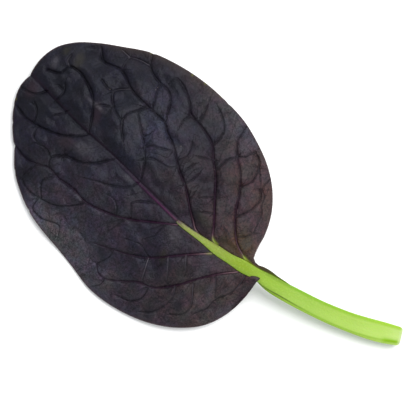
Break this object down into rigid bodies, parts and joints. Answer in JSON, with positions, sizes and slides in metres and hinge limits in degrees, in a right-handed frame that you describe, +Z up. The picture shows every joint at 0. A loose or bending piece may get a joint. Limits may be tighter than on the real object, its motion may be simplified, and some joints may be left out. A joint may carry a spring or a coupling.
{
  "type": "purple bok choy leaf",
  "caption": "Single dark purple bok choy leaf with a puckered oval blade and a bright green cut stalk, lying face up.",
  "frame": {"origin": "point on the surface that the leaf lies on, under the middle of its outline", "axes": "+Y along the leaf from the stalk's cut end to the tip, +Z up out of the upper face"},
  "size_m": [0.0618, 0.1216, 0.0093],
  "materials": {
    "leaf_blade": "satin, dark purple-black",
    "leaf_stalk": "moist and slightly glossy, yellow-green"
  },
  "bodies": {
    "root": {"leaf_blade": "leaf_blade", "leaf_stalk": "leaf_stalk"}
  },
  "joints": []
}
